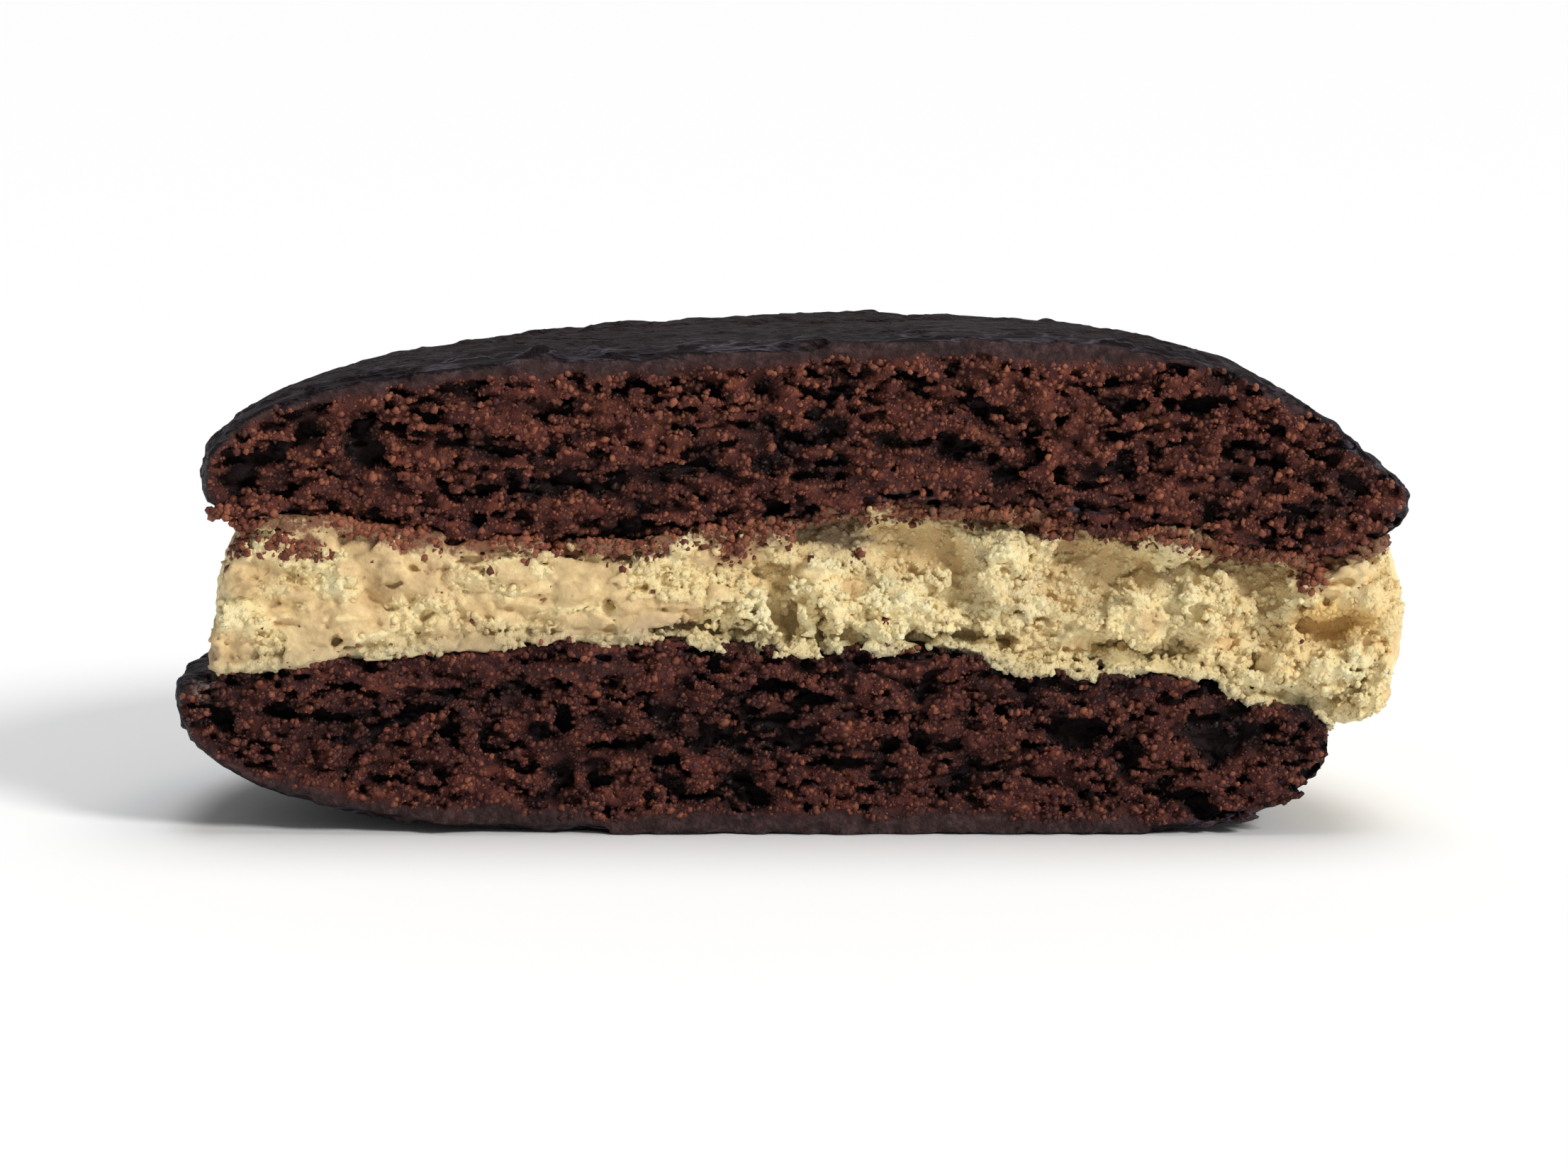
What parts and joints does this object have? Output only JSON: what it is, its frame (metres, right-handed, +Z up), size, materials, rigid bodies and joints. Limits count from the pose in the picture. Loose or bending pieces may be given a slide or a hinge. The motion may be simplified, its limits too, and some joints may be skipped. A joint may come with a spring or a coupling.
{
  "type": "whoopie pie",
  "caption": "Chocolate whoopie pie cut through: soft domed cakes around a thick, torn cream filling, standing on its rounded base with the cut face upright.",
  "frame": {"origin": "middle of the bounding box, at the level of the flat spot under the lower cake", "axes": "+X to the right along the cut face, +Y away from the cut face into the pie, +Z up through the layers"},
  "size_m": [0.0912, 0.0528, 0.0368],
  "materials": {
    "upper_cake": "dark chocolate sponge: open matte crumb on the cut face, thin wrinkled satin crust on the dome",
    "filling": "pale yellow set cream, satin and slightly translucent, smooth where sliced and crumbly where torn",
    "lower_cake": "dark chocolate sponge: open matte crumb on the cut face, thin satin crust on the rounded underside"
  },
  "bodies": {
    "root": {"upper_cake": "upper_cake", "filling": "filling", "lower_cake": "lower_cake"}
  },
  "joints": []
}
